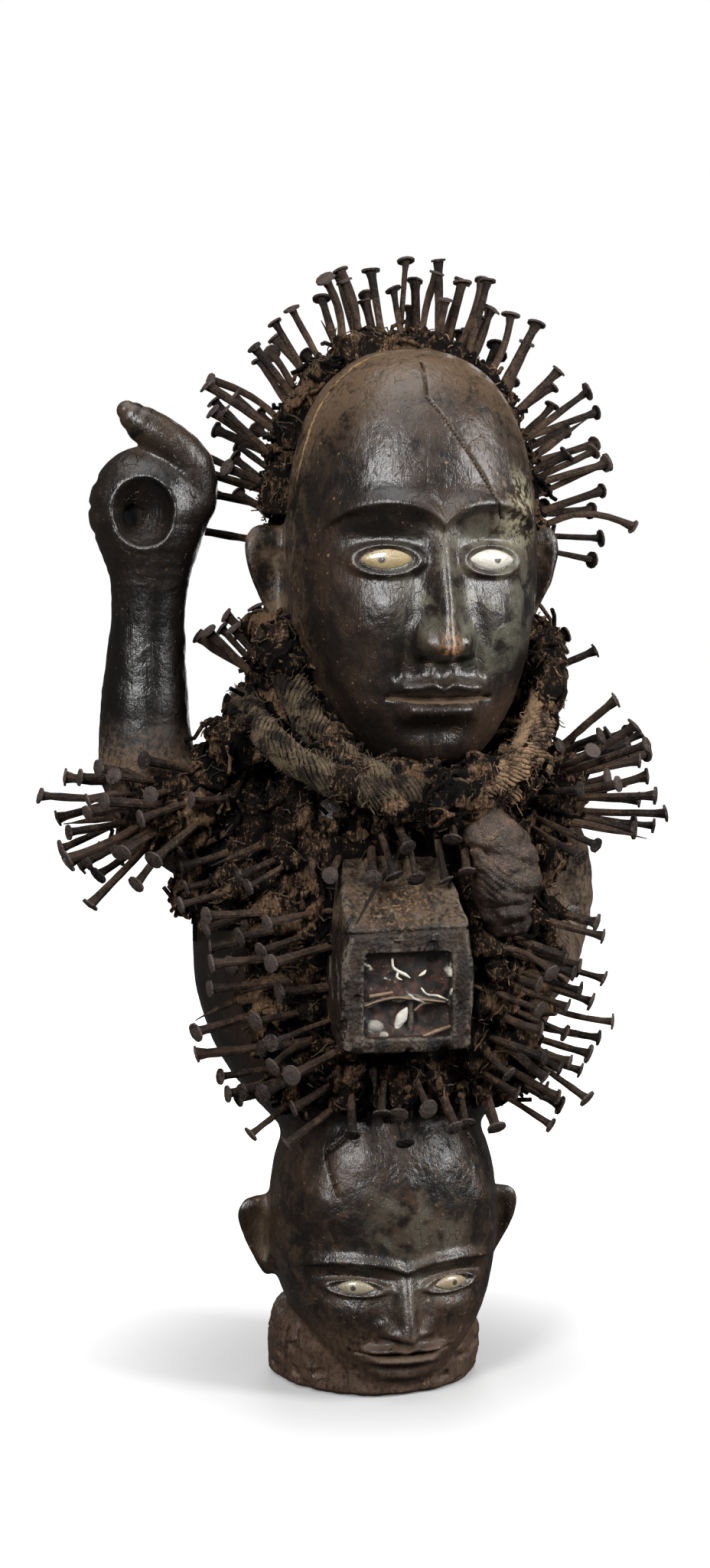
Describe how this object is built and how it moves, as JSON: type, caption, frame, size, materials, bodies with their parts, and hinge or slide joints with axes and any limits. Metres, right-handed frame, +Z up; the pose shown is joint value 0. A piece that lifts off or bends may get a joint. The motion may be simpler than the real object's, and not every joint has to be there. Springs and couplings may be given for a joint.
{
  "type": "nkisi nkondi figure",
  "caption": "Carved wooden power figure with a raised arm, standing on a smaller head; resin, iron nails and a glazed medicine box on the body.",
  "frame": {"origin": "centre of the underside of the plinth", "axes": "+Z up, -Y towards the viewer that the face looks at, +X towards the figure's own left"},
  "size_m": [0.4637, 0.3167, 0.8425],
  "materials": {
    "wood": "dark carved wood with a worn, half glossy patina",
    "resin": "matt crust of plant resin, earth and fibre",
    "fibre": "coarse twisted plant fibre, soiled",
    "hide": "dried wrinkled hide, half glossy on the folds",
    "iron": "hand-forged iron, dark with dry rust",
    "glass": "old window glass, dusty and cracked",
    "eye": "glossy inlay, yellowed"
  },
  "bodies": {
    "root": {"carved_figure": "wood", "medicine_box": "wood", "box_glass": "glass", "jaw_roll": "fibre", "chest_roll": "fibre", "hide_bundle": "hide", "head_resin": "resin", "body_resin": "resin", "upper_right_eye": "eye", "upper_left_eye": "eye", "lower_right_eye": "eye", "lower_left_eye": "eye", "crown_nail_01": "iron", "crown_nail_02": "iron", "crown_nail_03": "iron", "crown_nail_04": "iron", "crown_nail_05": "iron", "crown_nail_06": "iron", "crown_nail_07": "iron", "crown_nail_08": "iron", "crown_back_nail_01": "iron", "crown_back_nail_02": "iron", "crown_back_nail_03": "iron", "raised_shoulder_nail_01": "iron", "raised_shoulder_nail_02": "iron", "raised_shoulder_nail_03": "iron", "raised_shoulder_nail_04": "iron", "raised_shoulder_nail_05": "iron", "neck_nail_01": "iron", "chest_nail_01": "iron", "chest_nail_02": "iron", "right_flank_nail_01": "iron", "right_flank_nail_02": "iron", "right_flank_nail_03": "iron", "right_flank_nail_04": "iron", "right_flank_nail_05": "iron", "left_shoulder_nail_01": "iron", "left_shoulder_nail_02": "iron", "left_shoulder_nail_03": "iron", "left_shoulder_nail_04": "iron", "left_shoulder_nail_05": "iron", "left_flank_nail_01": "iron", "left_flank_nail_02": "iron", "left_flank_nail_03": "iron", "left_flank_nail_04": "iron", "belly_nail_01": "iron", "belly_nail_02": "iron", "back_nail_01": "iron"}
  },
  "joints": []
}
